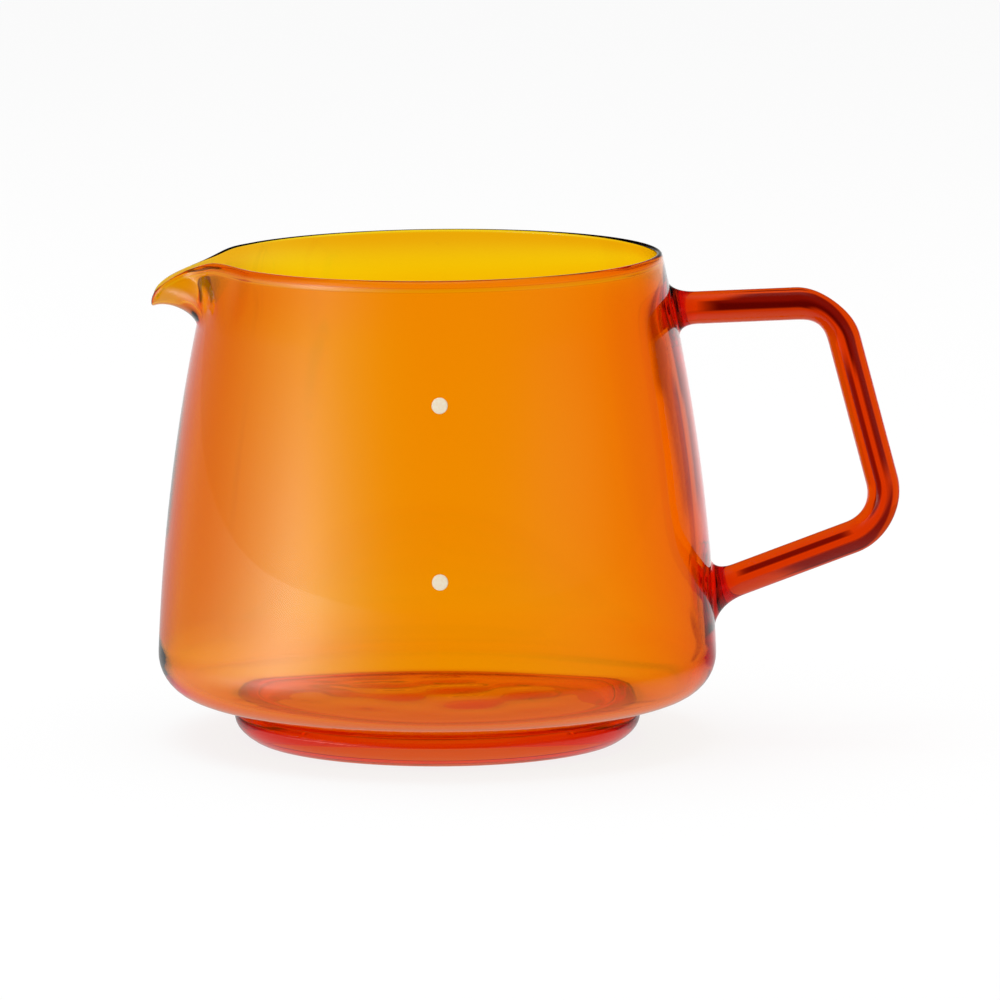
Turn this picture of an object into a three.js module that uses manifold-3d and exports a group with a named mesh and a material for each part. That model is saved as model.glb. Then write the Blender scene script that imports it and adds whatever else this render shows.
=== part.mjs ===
import * as THREE from 'three';
import { ParametricGeometry } from 'three/addons/geometries/ParametricGeometry.js';
import { mergeVertices } from 'three/addons/utils/BufferGeometryUtils.js';
import Module from 'manifold-3d';

// Amber glass carafe: a blown vessel with a drawn spout, a bent rod handle and two level marks.
// Millimetres, +Z up. The spout points along -X, the handle along +X, the marks face -Y.
// The origin is the middle of the circle that the foot ring stands on.

// Vessel
const rimHeight = 98.75;
const rimRadius = 45.5;
const rimTilt = 0.6;
const bellyRadius = 56.65;
const bellyHeight = 17.7;
const wallBulge = 2.03;
const cornerRadius = 8.55;
const wallThickness = 2;
const floorHeight = 7.3;
const floorThickness = 2.1;
const floorFillet = 4;

// Foot, a hollow ring of the vessel under its floor, set off from the belly by a groove
const footHeight = 5.05;
const footTopRadius = 41.1;
const footBottomRadius = 37.4;
const footBow = 0.7;
const footRingThickness = 2.6;
const footRingLean = 1.2;
const grooveHeight = 0.7;
const grooveDepth = 0.7;

// Spout, measured on the middle of the wall
const spoutReach = 12.2;
const spoutDrop = 8.75;
const beakHalfWidth = 5;
const spoutRootDepth = 14.6;
const spoutSpread = 36;
const lipLeavesRimAt = 22;
const rootPull = 8;
const tipPull = 12.4;
const tipDip = 16;

// Handle, a solid rod in the plane of the spout
const rodDiameter = 6.6;
const bendRadius = 9.9;
const upperArmDrop = 11.55;
const upperArmRise = 2.3;
const gripTop = 34.8;
const gripLean = 15.1;
const gripLength = 46.5;
const lowerArmRise = 20.6;

// Fused seals between the rod and the wall
const upperSealLength = 4.7;
const upperSealRadius = 6.4;
const upperSealSag = 0.8;
const lowerSealLength = 5.6;
const lowerSealRadius = 8.3;
const lowerSealSag = -0.7;
const weldGap = 0.3;

// Level marks, fired enamel dots on the front
const upperMarkHeight = 74.3;
const lowerMarkHeight = 39.9;
const markDiameter = 3.2;
const markThickness = 0.2;
const markGap = 0.1;

// Facets
const aroundSteps = 72;
const spoutCrowding = 0.55;
const wallSteps = 5;
const cornerSteps = 4;
const beakSteps = 8;
const lipSteps = 4;
const rodSides = 16;
const rodSteps = 44;
const sealSteps = 6;
const markSides = 24;

const amberGlass = { color: 0xe87808, roughness: 0.03, metalness: 0, transparent: true, opacity: 0.55 };
const redAmberGlass = { color: 0xc8320c, roughness: 0.03, metalness: 0, transparent: true, opacity: 0.75 };
const creamEnamel = { color: 0xfae4c8, roughness: 0.45, metalness: 0 };

const rad = THREE.MathUtils.degToRad;
const halfWall = wallThickness / 2;
const rodRadius = rodDiameter / 2;

// Outer outline in the half plane (radius, height). The wall is a gentle bow from belly to rim.
const bellyPoint = new THREE.Vector2(bellyRadius, bellyHeight);
const rimPoint = new THREE.Vector2(rimRadius, rimHeight - halfWall);
const wallChord = rimPoint.clone().sub(bellyPoint);
const chordNormal = new THREE.Vector2(wallChord.y, -wallChord.x).normalize();
const wallControl = bellyPoint.clone().lerp(rimPoint, 0.5).addScaledVector(chordNormal, 2 * wallBulge);

// The rounded lower corner carries on from the wall and runs out on the line to the groove.
const wallFoot = wallControl.clone().sub(bellyPoint).normalize();
const intoBelly = new THREE.Vector2(-wallFoot.y, wallFoot.x);
const cornerCentre = bellyPoint.clone().addScaledVector(intoBelly, cornerRadius);
const cornerStart = Math.atan2(bellyPoint.y - cornerCentre.y, bellyPoint.x - cornerCentre.x);
const groove = new THREE.Vector2(footTopRadius - grooveDepth, footHeight + grooveHeight / 2);

// Angle on the corner's circle, of the given radius, where the tangent from a point touches it.
function tangentAngle(point, radius) {
  const toCentre = cornerCentre.clone().sub(point);
  return toCentre.angle() - Math.asin(radius / toCentre.length()) - Math.PI / 2;
}

function wallAt(t, inset) {
  const inwards = new THREE.Vector2(-inset, 0);
  const start = bellyPoint.clone().addScaledVector(chordNormal, -inset);
  const curve = new THREE.QuadraticBezierCurve(
    start, wallControl.clone().add(inwards), rimPoint.clone().add(inwards));
  return curve.getPoint(t);
}

// Share of the wall's length, from belly to rim, at a height.
function wallShare(height) {
  const a = rimPoint.y - 2 * wallControl.y + bellyPoint.y;
  const b = 2 * (wallControl.y - bellyPoint.y);
  const c = bellyPoint.y - height;
  return (2 * -c) / (b + Math.sqrt(b * b - 4 * a * c));
}

const spoutRootShare = wallShare(rimHeight - spoutRootDepth);

// Corner and wall up to the spout's root, for the surface set in from the outside by inset.
function sideRows(fromPoint, inset) {
  const radius = cornerRadius - inset;
  const end = tangentAngle(fromPoint, radius);
  const corner = new THREE.EllipseCurve(
    cornerCentre.x, cornerCentre.y, radius, radius, end, cornerStart, false);
  const shares = Array.from({ length: wallSteps - 1 }, (_, i) => (spoutRootShare * (i + 1)) / wallSteps);
  const wall = shares.map((t) => wallAt(t, inset));
  return [...corner.getPoints(cornerSteps), ...wall];
}

function outerRows() {
  const ringInside = footBottomRadius - footRingThickness;
  const underFloor = floorHeight - floorThickness;
  const foot = new THREE.Path();
  foot.moveTo(0, underFloor);
  foot.lineTo(ringInside + footRingLean, underFloor);
  foot.lineTo(ringInside, 0);
  foot.lineTo(footBottomRadius, 0);
  const bowRadius = (footBottomRadius + footTopRadius) / 2 + 2 * footBow;
  foot.quadraticCurveTo(bowRadius, footHeight / 2 - footBow, footTopRadius, footHeight);
  foot.lineTo(groove.x, groove.y);
  return [...foot.getPoints(4), ...sideRows(groove, 0)];
}

// The floor inside runs out in a soft bend on the slope under the corner.
function innerRows() {
  const slopeAngle = tangentAngle(groove, cornerRadius) + Math.PI / 2;
  const slope = new THREE.Vector2(Math.cos(slopeAngle), Math.sin(slopeAngle));
  const inside = groove.clone().addScaledVector(new THREE.Vector2(-slope.y, slope.x), wallThickness);
  const edge = inside.clone().addScaledVector(slope, (floorHeight - inside.y) / slope.y);
  const bendEnd = edge.clone().addScaledVector(slope, floorFillet);
  const floor = new THREE.Path();
  floor.moveTo(0, floorHeight);
  floor.lineTo(edge.x - floorFillet, floorHeight);
  floor.quadraticCurveTo(edge.x, edge.y, bendEnd.x, bendEnd.y);
  return [...floor.getPoints(4), ...sideRows(bendEnd, wallThickness)];
}

// Middle line of the lip: round the rim, then out along the beak and down to its drooping tip.
const lipRadius = rimRadius - halfWall;
const lipHeight = rimHeight - halfWall;
const rimDip = lipRadius * Math.tan(rad(rimTilt));
function onRim(angle) {
  const towardsSpout = Math.cos(rad(angle));
  const height = lipHeight - rimDip * (1 + towardsSpout);
  return new THREE.Vector3(-lipRadius * towardsSpout, lipRadius * Math.sin(rad(angle)), height);
}
function alongBeak(reachShare, widthShare, dropShare) {
  const reach = lipRadius + reachShare * spoutReach;
  const height = lipHeight - 2 * rimDip - dropShare * spoutDrop;
  return new THREE.Vector3(-reach, widthShare * beakHalfWidth, height);
}
const lipSide = [
  alongBeak(0.975, 0.66, 0.81),
  alongBeak(0.82, 1, 0.54),
  alongBeak(0.51, 0.98, 0.31),
  alongBeak(0.23, 1.34, 0.18),
  alongBeak(-0.02, 2.15, 0.07),
  onRim(lipLeavesRimAt),
  onRim((lipLeavesRimAt + 1.6 * spoutSpread) / 2.6),
  onRim(spoutSpread),
];
const mirrored = lipSide.map((p) => new THREE.Vector3(p.x, -p.y, p.z)).reverse();
const lipCurve = new THREE.CatmullRomCurve3([...mirrored, alongBeak(1, 0, 1), ...lipSide]);

const rootMiddle = wallAt(spoutRootShare, halfWall);
const rootSlope = wallAt(spoutRootShare + 0.01, halfWall).sub(rootMiddle).normalize();
const rimSlope = rimPoint.clone().sub(wallControl).normalize();
const plainPull = rimHeight - halfWall - rootMiddle.y;

function radialVector(angle, slope) {
  return new THREE.Vector3(-Math.cos(angle) * slope.x, Math.sin(angle) * slope.x, slope.y);
}

// Direction in which the wall reaches the lip: up the wall, turning outwards and down at the tip.
function lipDirection(angle) {
  const share = Math.min(Math.abs(angle) / rad(spoutSpread), 1);
  const turn = THREE.MathUtils.smoothstep(share, 0, 0.9);
  const tip = new THREE.Vector3(-Math.cos(rad(tipDip)), 0, -Math.sin(rad(tipDip)));
  return tip.lerp(radialVector(angle, rimSlope), turn).normalize();
}

// Middle of the wall above the spout's root: s runs from the root, 0, to the lip, 1.
function middleAt(angle, s) {
  const share = angle / rad(spoutSpread);
  const root = radialVector(angle, rootMiddle);
  const pastSpout = onRim(THREE.MathUtils.radToDeg(angle));
  const lip = Math.abs(share) < 1 ? lipCurve.getPoint((share + 1) / 2) : pastSpout;
  const fade = THREE.MathUtils.smoothstep(Math.abs(share), 0, 1);
  const pull = (atSpout) => THREE.MathUtils.lerp(atSpout, plainPull, fade);
  const startPull = radialVector(angle, rootSlope).multiplyScalar(pull(rootPull));
  const endPull = lipDirection(angle).multiplyScalar(pull(tipPull));
  const s2 = s * s;
  const s3 = s2 * s;
  return root.multiplyScalar(2 * s3 - 3 * s2 + 1)
    .addScaledVector(startPull, s3 - 2 * s2 + s)
    .addScaledVector(lip, 3 * s2 - 2 * s3)
    .addScaledVector(endPull, s3 - s2);
}

function outwardAt(angle, s) {
  const step = 1e-3;
  const around = middleAt(angle + step, s).sub(middleAt(angle - step, s));
  const along = middleAt(angle, Math.min(s + step, 1)).sub(middleAt(angle, s - step));
  return along.cross(around).normalize();
}

// Rows of the closed surface, from the middle of the floor inside, over the lip, to the underside.
function vesselRows() {
  const turned = (point) => (angle) => radialVector(angle, point);
  const skin = (s, side) => (angle) => middleAt(angle, s)
    .addScaledVector(outwardAt(angle, s), side * halfWall);
  const bead = (tilt) => (angle) => middleAt(angle, 1)
    .addScaledVector(outwardAt(angle, 1), halfWall * Math.sin(tilt))
    .addScaledVector(lipDirection(angle), halfWall * Math.cos(tilt));
  const shares = Array.from({ length: beakSteps + 1 }, (_, i) => i / beakSteps);
  const tilts = Array.from({ length: lipSteps - 1 }, (_, i) => Math.PI * ((i + 1) / lipSteps - 0.5));
  return [
    ...innerRows().map(turned),
    ...shares.map((s) => skin(s, -1)),
    ...tilts.map(bead),
    ...shares.toReversed().map((s) => skin(s, 1)),
    ...outerRows().toReversed().map(turned),
  ];
}

function vesselGeometry() {
  const rows = vesselRows();
  return new ParametricGeometry((u, v, target) => {
    const turn = 2 * Math.PI * u - Math.PI;
    const angle = turn - spoutCrowding * Math.sin(turn);
    target.copy(rows[Math.round(v * (rows.length - 1))](angle));
  }, aroundSteps, rows.length - 1);
}

// Handle: three straight runs in the plane y = 0 with round bends between them.
class BendCurve extends THREE.Curve {
  constructor(centre, from, to) {
    super();
    Object.assign(this, { centre, from, to });
  }

  getPoint(t, target = new THREE.Vector3()) {
    const angle = THREE.MathUtils.lerp(this.from, this.to, t);
    const x = this.centre.x + bendRadius * Math.cos(angle);
    const z = this.centre.y + bendRadius * Math.sin(angle);
    return target.set(x, 0, z);
  }
}

// Radius of the vessel's outside at a height on the wall.
function wallRadiusAt(height) {
  return wallAt(wallShare(height), 0).x;
}

const upperDirection = new THREE.Vector2(1, 0).rotateAround(new THREE.Vector2(), rad(upperArmRise));
const gripDirection = new THREE.Vector2(1, 0).rotateAround(new THREE.Vector2(), rad(gripLean - 90));
const lowerDirection = new THREE.Vector2(-1, 0).rotateAround(new THREE.Vector2(), rad(lowerArmRise));
const upperArmHeight = rimHeight - upperArmDrop;
const upperRoot = new THREE.Vector2(wallRadiusAt(upperArmHeight), upperArmHeight);
const upperCorner = new THREE.Vector2(rimRadius + gripTop, 0);
upperCorner.y = upperRoot.y + (upperCorner.x - upperRoot.x) * Math.tan(rad(upperArmRise));
const lowerCorner = upperCorner.clone().addScaledVector(gripDirection, gripLength);

// The lower arm runs from its corner back to the wall; a few steps settle where it meets the bow.
function lowerArmRoot() {
  const root = new THREE.Vector2(bellyRadius, 0);
  for (let i = 0; i < 20; i += 1) {
    root.y = lowerCorner.y - (lowerCorner.x - root.x) * Math.tan(rad(lowerArmRise));
    root.x = wallRadiusAt(root.y);
  }
  return root;
}
const lowerRoot = lowerArmRoot();

function bendAt(corner, inwards, outwards) {
  const turn = inwards.angleTo(outwards);
  const setBack = bendRadius * Math.tan(turn / 2);
  const inner = new THREE.Vector2(inwards.y, -inwards.x);
  const start = corner.clone().addScaledVector(inwards, -setBack);
  const centre = start.clone().addScaledVector(inner, bendRadius);
  const end = corner.clone().addScaledVector(outwards, setBack);
  const from = inner.clone().negate().angle();
  return { start, end, arc: new BendCurve(centre, from, from - turn) };
}

function handleGeometry() {
  const on3 = (p) => new THREE.Vector3(p.x, 0, p.y);
  const upperBend = bendAt(upperCorner, upperDirection, gripDirection);
  const lowerBend = bendAt(lowerCorner, gripDirection, lowerDirection);
  const start = upperRoot.clone().addScaledVector(upperDirection, upperSealLength + weldGap);
  const end = lowerRoot.clone().addScaledVector(lowerDirection, -lowerSealLength - weldGap);
  const path = new THREE.CurvePath();
  path.add(new THREE.LineCurve3(on3(start), on3(upperBend.start)));
  path.add(upperBend.arc);
  path.add(new THREE.LineCurve3(on3(upperBend.end), on3(lowerBend.start)));
  path.add(lowerBend.arc);
  path.add(new THREE.LineCurve3(on3(lowerBend.end), on3(end)));
  const section = new THREE.Shape().absarc(0, 0, rodRadius, 0, 2 * Math.PI);
  const settings = { steps: rodSteps, curveSegments: rodSides / 2, extrudePath: path };
  return new THREE.ExtrudeGeometry(section, settings);
}

const wasm = await Module();
wasm.setup();

function solidOf(geometry) {
  const plain = geometry.clone();
  plain.deleteAttribute('normal');
  plain.deleteAttribute('uv');
  const merged = mergeVertices(plain, 1e-4);
  return new wasm.Manifold(new wasm.Mesh({
    numProp: 3,
    vertProperties: new Float32Array(merged.attributes.position.array),
    triVerts: new Uint32Array(merged.index.array),
  }));
}

function geometryOf(solid) {
  const mesh = solid.getMesh();
  const geometry = new THREE.BufferGeometry();
  const points = new Float32Array(mesh.vertProperties);
  geometry.setAttribute('position', new THREE.BufferAttribute(points, 3));
  geometry.setIndex(new THREE.BufferAttribute(new Uint32Array(mesh.triVerts), 1));
  geometry.computeVertexNormals();
  return geometry;
}

// The vessel's outside as a full solid, grown by the weld gap, to trim the seals to the wall.
function wallTrimmer() {
  const grown = Array.from({ length: 33 }, (_, i) => wallAt(i / 32, -weldGap));
  const points = [new THREE.Vector2(0, grown[0].y), ...grown, new THREE.Vector2(0, grown.at(-1).y)];
  return solidOf(new THREE.LatheGeometry(points, 180).rotateX(Math.PI / 2));
}

// A seal is a fillet of fused glass: it leaves the rod along the arm and runs out on the wall.
// Its rows go from the middle of the rod's end, down the fillet, to a point under the wall's skin.
function sealGeometry(root, direction, length, radius, sag) {
  const share = wallShare(root.y);
  const up = wallAt(share + 0.01, 0).sub(wallAt(share, 0)).normalize();
  const square = new THREE.Vector2(-direction.y, direction.x);
  const inPlane = (p, y) => new THREE.Vector3(p.x, y, p.y);
  const rodEnd = root.clone().addScaledVector(direction, length);
  const under = root.clone().add(new THREE.Vector2(-up.y, up.x).multiplyScalar(halfWall / 2));
  under.addScaledVector(up, -sag);
  const fillet = (angle, t) => {
    const rise = Math.cos(angle);
    const side = Math.sin(angle);
    const top = inPlane(rodEnd.clone().addScaledVector(square, rodRadius * rise), rodRadius * side);
    const base = inPlane(under.clone().addScaledVector(up, radius * rise), radius * side);
    const bend = inPlane(root.clone().addScaledVector(square, rodRadius * rise), rodRadius * side);
    return new THREE.QuadraticBezierCurve3(top, bend, base).getPoint(t);
  };
  const geometry = new ParametricGeometry((u, v, target) => {
    const row = Math.round(v * (sealSteps + 2)) - 1;
    if (row < 0) target.copy(inPlane(rodEnd, 0));
    else if (row > sealSteps) target.copy(inPlane(under, 0));
    else target.copy(fillet(2 * Math.PI * u, row / sealSteps));
  }, rodSides, sealSteps + 2);
  return geometryOf(solidOf(geometry).subtract(wallTrimmer()));
}

// A mark lies on the front of the wall, square to it.
function markGeometry(height) {
  const share = wallShare(height);
  const slope = wallAt(share + 0.01, 0).sub(wallAt(share, 0));
  const tilt = Math.atan2(-slope.x, slope.y);
  const radius = markDiameter / 2;
  const disc = new THREE.CylinderGeometry(radius, radius, markThickness, markSides);
  disc.translate(0, -(markGap + markThickness / 2), 0);
  return disc.rotateX(-tilt).translate(0, -wallRadiusAt(height), height);
}

function piece(name, geometry, look) {
  const mesh = new THREE.Mesh(geometry, new THREE.MeshStandardMaterial(look));
  mesh.name = name;
  return mesh;
}

const upperSeal = sealGeometry(upperRoot, upperDirection, upperSealLength, upperSealRadius, upperSealSag);
const lowerArm = lowerDirection.clone().negate();
const lowerSeal = sealGeometry(lowerRoot, lowerArm, lowerSealLength, lowerSealRadius, lowerSealSag);

const carafe = new THREE.Group();
carafe.add(piece('vessel', vesselGeometry(), amberGlass));
carafe.add(piece('handle', handleGeometry(), redAmberGlass));
carafe.add(piece('upper_handle_seal', upperSeal, redAmberGlass));
carafe.add(piece('lower_handle_seal', lowerSeal, redAmberGlass));
carafe.add(piece('upper_level_mark', markGeometry(upperMarkHeight), creamEnamel));
carafe.add(piece('lower_level_mark', markGeometry(lowerMarkHeight), creamEnamel));

export default carafe;
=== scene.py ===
import math

import bpy
import numpy as np
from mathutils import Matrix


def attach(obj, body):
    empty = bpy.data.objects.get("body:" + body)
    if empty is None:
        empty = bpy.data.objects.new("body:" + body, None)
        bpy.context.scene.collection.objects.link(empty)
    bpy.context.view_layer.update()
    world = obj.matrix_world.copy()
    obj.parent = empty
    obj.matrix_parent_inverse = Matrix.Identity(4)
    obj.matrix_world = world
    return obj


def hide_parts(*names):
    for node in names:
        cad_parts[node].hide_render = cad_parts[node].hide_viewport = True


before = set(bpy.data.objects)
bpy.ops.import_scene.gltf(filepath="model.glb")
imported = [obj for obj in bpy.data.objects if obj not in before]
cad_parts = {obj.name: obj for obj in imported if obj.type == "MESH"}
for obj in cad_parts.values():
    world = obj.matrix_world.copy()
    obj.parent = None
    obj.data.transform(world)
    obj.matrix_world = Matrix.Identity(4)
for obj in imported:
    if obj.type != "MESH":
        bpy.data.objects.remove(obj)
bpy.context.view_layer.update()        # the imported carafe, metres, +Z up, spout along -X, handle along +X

mm = 0.001
scene = bpy.context.scene
scene.view_settings.view_transform = "Standard"
scene.cycles.max_bounces = 32              # light crosses many glass skins
scene.cycles.transmission_bounces = 24
scene.cycles.glossy_bounces = 24
scene.cycles.caustics_refractive = False   # the glass lets lamp light through by itself
scene.cycles.caustics_reflective = False
print("frame loaded", sorted(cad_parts))


# Points and meshes

def unit(v):
    # vectors scaled to length 1
    return v / np.linalg.norm(v, axis=-1, keepdims=True)


def easeIn(x, low, high):
    # smooth step from 0 at low to 1 at high
    t = np.clip((x - low) / (high - low), 0, 1)
    return t * t * (3 - 2 * t)


def spreadAlong(points, count, bendWeight=0.0):
    # count points along a line, closer together where the line bends
    step = np.linalg.norm(np.diff(points, axis=0), axis=1)
    heading = np.unwrap(np.arctan2(*np.diff(points, axis=0).T[::-1]))
    bend = np.abs(np.concatenate([[0], np.diff(heading)]))
    way = np.concatenate([[0], np.cumsum(step + bendWeight * bend)])
    at = np.linspace(0, way[-1], count)
    return np.stack([np.interp(at, way, points[:, k]) for k in range(2)], axis=1)


def softened(points, spacing, blur):
    # even points along the line, each the bell-weighted mean of its neighbours, so corners go round
    length = np.linalg.norm(np.diff(points, axis=0), axis=1).sum()
    even = spreadAlong(points, int(length / spacing) + 1)
    reach = int(4 * blur / spacing)
    bell = np.exp(-0.5 * (np.arange(-reach, reach + 1) * spacing / blur) ** 2)
    before = 2 * even[0] - even[reach:0:-1]
    after = 2 * even[-1] - even[-2:-reach - 2:-1]
    longer = np.concatenate([before, even, after])
    return np.stack([np.convolve(longer[:, k], bell / bell.sum(), "valid") for k in range(2)], axis=1)


def bezierLine(a, b, c, count):
    # quadratic curve from a to c, pulled towards b
    t = np.linspace(0, 1, count)[:, None]
    return (1 - t) ** 2 * np.array(a) + 2 * t * (1 - t) * np.array(b) + t * t * np.array(c)


def roundCorner(a, corner, c, radius, count):
    # arc of a circle that touches both legs of a corner, swept by weights that turn evenly
    one, two = unit(a - corner), unit(c - corner)
    half = np.arccos(one @ two) / 2
    centre = corner + radius / np.sin(half) * unit(one + two)
    leg = radius / np.tan(half)
    first, last = corner + leg * one - centre, corner + leg * two - centre
    t = np.linspace(0, 1, count)[:, None]
    sweep = np.pi - 2 * half
    return centre + (np.sin((1 - t) * sweep) * first + np.sin(t * sweep) * last) / np.sin(sweep)


def meshFromRings(name, rings, firstPole, lastPole):
    # rings (rows, around, 3) joined by quads, closed round and closed at both ends by a fan
    rows, around = rings.shape[:2]
    points = np.concatenate([rings.reshape(-1, 3), [firstPole], [lastPole]]) * mm
    row, col = np.meshgrid(np.arange(rows - 1), np.arange(around), indexing="ij")
    nextCol = (col + 1) % around
    quads = np.stack([row * around + col, row * around + nextCol,
                      (row + 1) * around + nextCol, (row + 1) * around + col], axis=-1).reshape(-1, 4)
    one = np.arange(around)
    two = (one + 1) % around
    last = (rows - 1) * around
    fanA = np.stack([two, one, np.full(around, rows * around)], axis=1)
    fanB = np.stack([last + one, last + two, np.full(around, rows * around + 1)], axis=1)
    loops = np.concatenate([quads.ravel(), fanA.ravel(), fanB.ravel()])
    sizes = np.concatenate([np.full(len(quads), 4), np.full(2 * around, 3)])
    starts = np.concatenate([[0], np.cumsum(sizes)[:-1]])
    mesh = bpy.data.meshes.new(name)
    mesh.vertices.add(len(points))
    mesh.vertices.foreach_set("co", points.ravel())
    mesh.loops.add(len(loops))
    mesh.loops.foreach_set("vertex_index", loops.astype(np.int32))
    mesh.polygons.add(len(sizes))
    mesh.polygons.foreach_set("loop_start", starts.astype(np.int32))
    mesh.polygons.foreach_set("use_smooth", np.ones(len(sizes), dtype=bool))
    mesh.update(calc_edges=True)
    mesh.validate()
    piece = bpy.data.objects.new(name, mesh)
    scene.collection.objects.link(piece)
    print(name, len(quads) * 2 + 2 * around, "triangles")
    return piece


# Vessel: a closed skin from the middle of the floor inside, over the lip, to the underside.

vesselSet = dict(
    rimHeight=98.72, rimRadius=45.5, rimTilt=0.6, bellyRadius=56.58, bellyHeight=17.7, wallBulge=2.03,
    cornerRadius=8.55, wall=1.9, wallThin=1.83, thinAt=48.0, wallLow=1.25,
    floorTop=7.3, floorUnder=5.2, floorWave=0.2, floorBand=0.5, waveReach=33.0,
    ringWall=3.9, ringLean=4.0, ringSoft=0.8,
    footHeight=5.05, footTop=41.3, footBottom=37.4, footBow=0.7, footRound=1.2,
    grooveHeight=1.3, grooveDepth=2.0, outerSoft=0.22, innerSoft=2.4,
    handleSide=0.5, spoutSide=0.32, spoutShare=0.5, unevenFrom=(9, 16), unevenTo=(96, 84),
    weldSwell=((31.0, 4.5, 1.3), (87.0, 3.6, 1.1)),      # height, size and depth of each
    spoutReach=12.12, spoutDrop=8.95, beakHalf=5.0, rootDepth=14.6, spread=36.0, leaveRim=22.0,
    rimLean=1.6, rootPull=8.0, tipPull=12.4, tipDip=16.0, aimTurn=0.9,
    # lip of the beak from the tip back to the rim: shares of reach, half width and drop
    beakLip=((0.975, 0.66, 0.81), (0.82, 1, 0.54), (0.51, 0.98, 0.31), (0.23, 1.34, 0.18),
             (-0.02, 2.15, 0.07)),
    lipThin=0.4, spoutThin=0.25, spoutTurn=(1.4, 0.4), thinning=(0.1, 0.9),
    beadSwell=0.26, beadRise=(0.915, 0.98), beadFront=(-0.1, 0.5),
    around=288, crowding=0.55, sideRows=60, footRows=70, floorRows=64, spoutRows=40, beadRows=14,
    cornerPoints=80, wallPoints=160, bowPoints=30, shoulderPoints=40, lineStep=0.05, bendWeight=6.0,
)
vs = vesselSet
halfWall = vs["wall"] / 2
bellyPoint = np.array([vs["bellyRadius"], vs["bellyHeight"]])
rimPoint = np.array([vs["rimRadius"], vs["rimHeight"] - halfWall])
chord = rimPoint - bellyPoint
chordOut = np.array([chord[1], -chord[0]]) / np.hypot(*chord)
wallBend = (bellyPoint + rimPoint) / 2 + chordOut * 2 * vs["wallBulge"]


def wallAt(t):
    # outer wall in (radius, height): a quadratic curve from the belly, t = 0, to the rim, t = 1
    t = np.asarray(t, dtype=float)[..., None]
    return (1 - t) ** 2 * bellyPoint + 2 * t * (1 - t) * wallBend + t * t * rimPoint


def wallShare(height):
    # place along the wall's curve at a height: the root of its quadratic
    a = rimPoint[1] - 2 * wallBend[1] + bellyPoint[1]
    b = 2 * (wallBend[1] - bellyPoint[1])
    c = bellyPoint[1] - np.asarray(height, dtype=float)
    return -2 * c / (b + np.sqrt(b * b - 4 * a * c))


def wallRadius(height):
    # outer radius at a height
    return wallAt(wallShare(height))[..., 0]


def wallUp(share, step=0.005):
    # way up the wall at a share of its curve, from a point just below to one just above
    return unit(wallAt(share + step) - wallAt(share - step))


rootHeight = vs["rimHeight"] - vs["rootDepth"]
rootShare = wallShare(rootHeight)


def meeting(p, along, q, across):
    # where the line from p and the line from q cross
    t, _ = np.linalg.solve(np.stack([along, -across], axis=1), q - p)
    return p + t * along


def glassAt(height):
    # wall thickness: a parabola up from the thinnest place to the rim and a steeper one down to the foot
    away = np.asarray(height) - vs["thinAt"]
    upper = (vs["wall"] - vs["wallThin"]) * (away / (rootHeight - vs["thinAt"])) ** 2
    lower = (vs["wallLow"] - vs["wallThin"]) * (away / (vs["thinAt"] - vs["footHeight"])) ** 2
    return vs["wallThin"] + np.where(away > 0, upper, lower)


def sideLine(inside):
    # arc under the belly and curve of the wall up to the spout's root: outer skin for 0, inner skin for 1
    belly = unit(wallBend - bellyPoint)
    centre = bellyPoint + vs["cornerRadius"] * np.array([-belly[1], belly[0]])
    start = np.arctan2(*(bellyPoint - centre)[::-1])
    toCentre = centre - groovePoint
    lean = np.arctan2(toCentre[1], toCentre[0]) - np.arcsin(vs["cornerRadius"] / np.hypot(*toCentre))
    turn = np.linspace(lean - np.pi / 2, start, vs["cornerPoints"])
    cornerOut = np.stack([np.cos(turn), np.sin(turn)], axis=1)
    share = np.linspace(0, rootShare, vs["wallPoints"])[1:]
    up = wallUp(share)
    skin = np.concatenate([centre + vs["cornerRadius"] * cornerOut, wallAt(share)])
    out = np.concatenate([cornerOut, np.stack([up[:, 1], -up[:, 0]], axis=1)])
    return skin - inside * glassAt(skin[:, 1])[:, None] * out, np.array([np.cos(lean), np.sin(lean)])


footEdge = np.array([vs["footBottom"], 0.0])
footShoulder = np.array([vs["footTop"], vs["footHeight"]])
groovePoint = footShoulder + np.array([-vs["grooveDepth"], vs["grooveHeight"] / 2])


def rowsOf(line, lowRows):
    # a profile's rows: crowded at the bends below the belly, even up the wall
    cut = np.argmax(line[:, 1] > vs["bellyHeight"])
    return np.concatenate([spreadAlong(line[:cut], lowRows, vs["bendWeight"]),
                           spreadAlong(line[cut - 1:], vs["sideRows"])[1:]])


def outerLine():
    # underside of the floor, inner and outer face of the foot ring, groove, corner and wall
    side, _ = sideLine(0)
    ringIn = footEdge - [vs["ringWall"], 0]
    under = np.array([[0, vs["floorUnder"]], ringIn + [vs["ringLean"], vs["floorUnder"]], ringIn])
    under = softened(under, vs["lineStep"], vs["ringSoft"])
    bow = (footEdge + footShoulder) / 2 + vs["footBow"] * np.array([2, -1])
    shoulder = roundCorner(bow, footShoulder, groovePoint, vs["footRound"], vs["shoulderPoints"])
    face = bezierLine(footEdge, bow, shoulder[0], vs["bowPoints"])
    foot = np.concatenate([face, shoulder[1:], [groovePoint]])
    line = np.concatenate([under, foot, side])
    return rowsOf(softened(line, vs["lineStep"], vs["outerSoft"]), vs["footRows"])


def innerLine():
    # floor and corner, set in by the glass, meeting in a wide soft bend
    side, lean = sideLine(1)
    floorEdge = meeting(np.array([0, vs["floorTop"]]), np.array([1.0, 0]), side[0], lean)
    line = np.concatenate([[[0, vs["floorTop"]]], [floorEdge], side])
    return rowsOf(softened(line, vs["lineStep"], vs["innerSoft"]), vs["floorRows"])


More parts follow.
